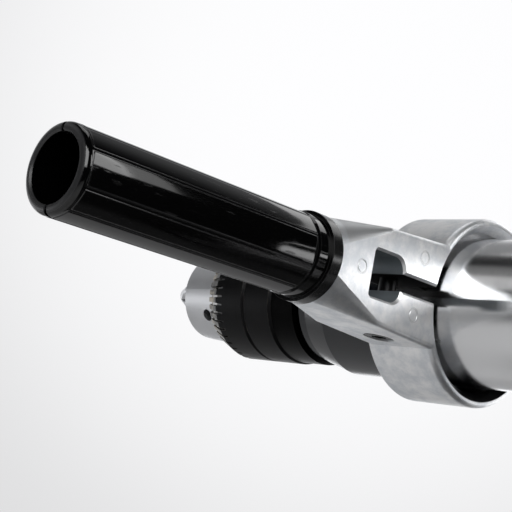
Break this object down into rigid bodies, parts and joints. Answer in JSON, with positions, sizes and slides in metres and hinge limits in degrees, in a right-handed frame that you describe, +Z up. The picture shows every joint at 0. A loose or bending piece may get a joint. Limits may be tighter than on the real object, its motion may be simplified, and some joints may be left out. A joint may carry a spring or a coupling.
{
  "type": "air drill",
  "caption": "Pistol-grip air drill with keyed three-jaw chuck, planetary gears, vane motor, trigger valve, reversing spool and a hollow side handle on a split clamp ring.",
  "frame": {"origin": "on the spindle axis, in the plane of the closed jaw tips", "axes": "+X forward along the spindle, +Y towards the side handle, +Z up"},
  "size_m": [0.2495, 0.2137, 0.201],
  "materials": {
    "polished_aluminium": "mirror polished",
    "case_finish": "dark satin coating",
    "cast_aluminium": "fine blasted casting",
    "handle_plastic": "glossy moulded",
    "chuck_steel": "satin turned",
    "sleeve_steel": "black oxide",
    "gear_steel": "ground",
    "motor_iron": "machined",
    "vane_resin": "matte",
    "black_plastic": "fine textured",
    "brass": "turned",
    "fastener_steel": "black zinc",
    "inlet_steel": "nickel plated"
  },
  "bodies": {
    "housing": {"motor_housing": "polished_aluminium", "gear_case": "case_finish", "ring_gear": "gear_steel", "motor_cylinder": "motor_iron", "rear_end_plate": "motor_iron", "front_end_plate": "motor_iron", "rotor_rear_bearing": "gear_steel", "rotor_front_bearing": "gear_steel", "spindle_rear_bearing": "gear_steel", "spindle_front_bearing": "gear_steel", "bearing_retainer": "fastener_steel", "valve_bushing": "brass", "valve_spring": "gear_steel", "inlet_bushing": "inlet_steel", "inlet_screen": "brass", "exhaust_deflector": "black_plastic"},
    "spindle": {"spindle": "gear_steel", "second_planet_pins": "gear_steel", "chuck_body": "chuck_steel", "chuck_screw": "fastener_steel"},
    "chuck_sleeve": {"chuck_sleeve": "sleeve_steel", "chuck_nut": "gear_steel"},
    "first_carrier": {"first_carrier": "gear_steel", "first_planet_pins": "gear_steel"},
    "rotor": {"rotor": "gear_steel", "rotor_vanes": "vane_resin", "rotor_pinion": "gear_steel"},
    "trigger": {"trigger": "black_plastic", "valve_stem": "gear_steel"},
    "reverse_spool": {"reverse_spool": "fastener_steel"},
    "side_handle": {"handle_bracket": "cast_aluminium", "handle_front_half": "handle_plastic", "handle_rear_half": "handle_plastic", "clamp_screw": "fastener_steel", "clamp_nut": "fastener_steel", "handle_washer": "fastener_steel", "handle_screw": "fastener_steel"},
    "chuck_jaw_1": {"chuck_jaw_1": "chuck_steel"},
    "first_planet_1": {"first_planet_gear_1": "gear_steel"},
    "second_planet_1": {"second_planet_gear_1": "gear_steel"},
    "chuck_jaw_2": {"chuck_jaw_2": "chuck_steel"},
    "first_planet_2": {"first_planet_gear_2": "gear_steel"},
    "second_planet_2": {"second_planet_gear_2": "gear_steel"},
    "chuck_jaw_3": {"chuck_jaw_3": "chuck_steel"},
    "first_planet_3": {"first_planet_gear_3": "gear_steel"},
    "second_planet_3": {"second_planet_gear_3": "gear_steel"}
  },
  "joints": [
    {"name": "chuck_spin", "type": "hinge", "parent": "housing", "child": "spindle", "pos_m": [0, 0, 0], "axis": [1, 0, 0], "continuous": true},
    {"name": "carrier_spin", "type": "hinge", "parent": "housing", "child": "first_carrier", "pos_m": [0, 0, 0], "axis": [1, 0, 0], "continuous": true},
    {"name": "rotor_spin", "type": "hinge", "parent": "housing", "child": "rotor", "pos_m": [0, 0, 0], "axis": [1, 0, 0], "continuous": true},
    {"name": "sleeve_turn", "type": "hinge", "parent": "spindle", "child": "chuck_sleeve", "pos_m": [0, 0, 0], "axis": [1, 0, 0], "range_deg": [0, 4905.4]},
    {"name": "trigger_pull", "type": "slide", "parent": "housing", "child": "trigger", "axis": [-1, 0, 0], "range_m": [0, 0.005], "stiffness_N_per_m": 2000, "springref_m": -0.004, "deforming": ["valve_spring"]},
    {"name": "reverse_push", "type": "slide", "parent": "housing", "child": "reverse_spool", "axis": [0, -1, 0], "range_m": [0, 0.008]},
    {"name": "handle_swivel", "type": "hinge", "parent": "housing", "child": "side_handle", "pos_m": [-0.1435, 0, 0], "axis": [1, 0, 0], "continuous": true},
    {"name": "first_planet_1_spin", "type": "hinge", "parent": "first_carrier", "child": "first_planet_1", "pos_m": [-0.1667, 0.01275, 0], "axis": [1, 0, 0], "continuous": true},
    {"name": "second_planet_1_spin", "type": "hinge", "parent": "spindle", "child": "second_planet_1", "pos_m": [-0.15, 0.01275, 0], "axis": [1, 0, 0], "continuous": true},
    {"name": "jaw_1_slide", "type": "slide", "parent": "spindle", "child": "chuck_jaw_1", "axis": [-0.9816, 0.17, 0.0866], "range_m": [0, 0.03411]},
    {"name": "first_planet_2_spin", "type": "hinge", "parent": "first_carrier", "child": "first_planet_2", "pos_m": [-0.1667, -0.00637, 0.01104], "axis": [1, 0, 0], "continuous": true},
    {"name": "second_planet_2_spin", "type": "hinge", "parent": "spindle", "child": "second_planet_2", "pos_m": [-0.15, -0.00637, 0.01104], "axis": [1, 0, 0], "continuous": true},
    {"name": "jaw_2_slide", "type": "slide", "parent": "spindle", "child": "chuck_jaw_2", "axis": [-0.9816, -0.16, 0.1039], "range_m": [0, 0.03411]},
    {"name": "first_planet_3_spin", "type": "hinge", "parent": "first_carrier", "child": "first_planet_3", "pos_m": [-0.1667, -0.00637, -0.01104], "axis": [1, 0, 0], "continuous": true},
    {"name": "second_planet_3_spin", "type": "hinge", "parent": "spindle", "child": "second_planet_3", "pos_m": [-0.15, -0.00637, -0.01104], "axis": [1, 0, 0], "continuous": true},
    {"name": "jaw_3_slide", "type": "slide", "parent": "spindle", "child": "chuck_jaw_3", "axis": [-0.9816, -0.01, -0.1905], "range_m": [0, 0.03411]}
  ],
  "couplings": [
    {"joint": "carrier_spin", "follows": "chuck_spin", "ratio": 4},
    {"joint": "rotor_spin", "follows": "chuck_spin", "ratio": 16},
    {"joint": "first_planet_1_spin", "follows": "chuck_spin", "ratio": -12},
    {"joint": "second_planet_1_spin", "follows": "chuck_spin", "ratio": -3},
    {"joint": "jaw_1_slide", "follows": "sleeve_turn", "m_per_rad": 0.00039789},
    {"joint": "first_planet_2_spin", "follows": "chuck_spin", "ratio": -12},
    {"joint": "second_planet_2_spin", "follows": "chuck_spin", "ratio": -3},
    {"joint": "jaw_2_slide", "follows": "sleeve_turn", "m_per_rad": 0.00039789},
    {"joint": "first_planet_3_spin", "follows": "chuck_spin", "ratio": -12},
    {"joint": "second_planet_3_spin", "follows": "chuck_spin", "ratio": -3},
    {"joint": "jaw_3_slide", "follows": "sleeve_turn", "m_per_rad": 0.00039789}
  ]
}
